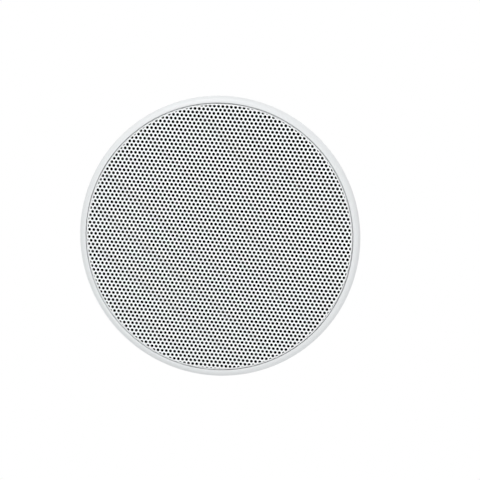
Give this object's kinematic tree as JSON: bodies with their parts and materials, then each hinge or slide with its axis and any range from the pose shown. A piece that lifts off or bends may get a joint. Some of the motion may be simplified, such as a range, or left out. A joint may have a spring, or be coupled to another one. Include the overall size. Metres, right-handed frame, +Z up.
{
  "type": "in-ceiling speaker",
  "caption": "Round in-ceiling loudspeaker with a perforated magnetic grille, a thin rounded bezel, swing-out ceiling clamps and a coaxial driver.",
  "frame": {"origin": "centre of the collar on the plane where the flange's back meets the ceiling's surface", "axes": "+Z up into the ceiling void, so the grille faces -Z; +X towards the woofer's tag strip, +Y towards clamp 1"},
  "size_m": [0.2336, 0.2336, 0.1043],
  "materials": {
    "black_steel": "satin",
    "zinc_steel": "zinc plated",
    "spring_steel": "drawn",
    "plated_steel": "zinc plated",
    "brass": "turned",
    "clamp_plastic": "moulded",
    "red_pvc": "satin",
    "black_pvc": "satin",
    "red_plastic": "moulded",
    "black_plastic": "moulded",
    "foam": "foam",
    "copper": "enamelled wire",
    "magnet": "nickel plated",
    "frame_plastic": "satin moulded",
    "grille_paint": "powder coated",
    "cloth": "woven",
    "basket_steel": "satin",
    "surround_rubber": "satin",
    "cone": "moulded",
    "former": "film",
    "spider_cloth": "treated cloth",
    "ferrite": "ground",
    "dome_cloth": "coated silk",
    "board": "glass epoxy",
    "film_capacitor": "wrapped film",
    "cement": "cast ceramic",
    "board_brown": "paper laminate",
    "tinsel": "braided"
  },
  "bodies": {
    "speaker": {"bezel_ring": "frame_plastic", "collar": "frame_plastic", "baffle": "frame_plastic", "screw_bosses": "frame_plastic", "frame_ribs": "frame_plastic", "clamp_towers": "frame_plastic", "ceiling_gasket": "foam", "grille_magnets": "magnet", "grille": "grille_paint", "grille_cloth": "cloth", "woofer_gasket": "foam", "woofer_basket": "basket_steel", "woofer_screws": "black_steel", "woofer_surround": "surround_rubber", "spider": "spider_cloth", "top_plate": "plated_steel", "ferrite_magnet": "ferrite", "yoke": "plated_steel", "tweeter_post": "black_plastic", "tweeter_cup": "plated_steel", "tweeter_magnet": "magnet", "tweeter_pole_plate": "plated_steel", "tweeter_dome": "dome_cloth", "tweeter_coil": "copper", "tweeter_face": "black_plastic", "tweeter_bolt": "zinc_steel", "tweeter_leads": "red_pvc", "crossover_tray": "black_plastic", "tray_screws": "zinc_steel", "circuit_board": "board", "board_screws": "zinc_steel", "woofer_capacitor": "film_capacitor", "tweeter_capacitor": "film_capacitor", "inductor_core": "ferrite", "inductor_winding": "copper", "resistor": "cement", "terminal_block": "black_plastic", "red_spring": "spring_steel", "black_spring": "spring_steel", "tag_strip": "board_brown", "red_lead": "red_pvc", "black_lead": "black_pvc", "tinsel_leads": "tinsel"},
    "cone": {"woofer_cone": "cone", "coil_former": "former", "voice_coil": "copper"},
    "red_button": {"red_button": "red_plastic"},
    "black_button": {"black_button": "black_plastic"},
    "clamp_screw_1": {"clamp_screw_1": "zinc_steel", "clamp_washer_1": "zinc_steel"},
    "clamp_bush_1": {"clamp_bush_1": "brass"},
    "clamp_paw_1": {"clamp_paw_1": "clamp_plastic"},
    "clamp_screw_2": {"clamp_screw_2": "zinc_steel", "clamp_washer_2": "zinc_steel"},
    "clamp_bush_2": {"clamp_bush_2": "brass"},
    "clamp_paw_2": {"clamp_paw_2": "clamp_plastic"},
    "clamp_screw_3": {"clamp_screw_3": "zinc_steel", "clamp_washer_3": "zinc_steel"},
    "clamp_bush_3": {"clamp_bush_3": "brass"},
    "clamp_paw_3": {"clamp_paw_3": "clamp_plastic"}
  },
  "joints": [
    {"name": "cone_travel", "type": "slide", "parent": "speaker", "child": "cone", "axis": [0, 0, 1], "range_m": [-0.004, 0.004], "stiffness_N_per_m": 1400, "deforming": ["woofer_surround", "spider", "tinsel_leads"]},
    {"name": "red_button_press", "type": "slide", "parent": "speaker", "child": "red_button", "axis": [0, 0, -1], "range_m": [0, 0.003], "stiffness_N_per_m": 800, "springref_m": -0.002, "deforming": ["red_spring"]},
    {"name": "black_button_press", "type": "slide", "parent": "speaker", "child": "black_button", "axis": [0, 0, -1], "range_m": [0, 0.003], "stiffness_N_per_m": 800, "springref_m": -0.002, "deforming": ["black_spring"]},
    {"name": "clamp_screw_1_turn", "type": "hinge", "parent": "speaker", "child": "clamp_screw_1", "pos_m": [0, 0.0915, 0.0075], "axis": [0, 0, 1], "range_deg": [0, 5581]},
    {"name": "clamp_bush_1_travel", "type": "slide", "parent": "speaker", "child": "clamp_bush_1", "axis": [0, 0, -1], "range_m": [0, 0.031]},
    {"name": "clamp_paw_1_swing", "type": "hinge", "parent": "clamp_bush_1", "child": "clamp_paw_1", "pos_m": [0, 0.0915, 0.043], "axis": [0, 0, -1], "range_deg": [0, 90]},
    {"name": "clamp_screw_2_turn", "type": "hinge", "parent": "speaker", "child": "clamp_screw_2", "pos_m": [-0.07924, -0.04575, 0.0075], "axis": [0, 0, 1], "range_deg": [0, 5581]},
    {"name": "clamp_bush_2_travel", "type": "slide", "parent": "speaker", "child": "clamp_bush_2", "axis": [0, 0, -1], "range_m": [0, 0.031]},
    {"name": "clamp_paw_2_swing", "type": "hinge", "parent": "clamp_bush_2", "child": "clamp_paw_2", "pos_m": [-0.07924, -0.04575, 0.043], "axis": [0, 0, -1], "range_deg": [0, 90]},
    {"name": "clamp_screw_3_turn", "type": "hinge", "parent": "speaker", "child": "clamp_screw_3", "pos_m": [0.07924, -0.04575, 0.0075], "axis": [0, 0, 1], "range_deg": [0, 5581]},
    {"name": "clamp_bush_3_travel", "type": "slide", "parent": "speaker", "child": "clamp_bush_3", "axis": [0, 0, -1], "range_m": [0, 0.031]},
    {"name": "clamp_paw_3_swing", "type": "hinge", "parent": "clamp_bush_3", "child": "clamp_paw_3", "pos_m": [0.07924, -0.04575, 0.043], "axis": [0, 0, -1], "range_deg": [0, 90]}
  ],
  "couplings": [
    {"joint": "clamp_screw_1_turn", "follows": "clamp_bush_1_travel", "rad_per_m": 3141.6},
    {"joint": "clamp_screw_2_turn", "follows": "clamp_bush_2_travel", "rad_per_m": 3141.6},
    {"joint": "clamp_screw_3_turn", "follows": "clamp_bush_3_travel", "rad_per_m": 3141.6}
  ]
}
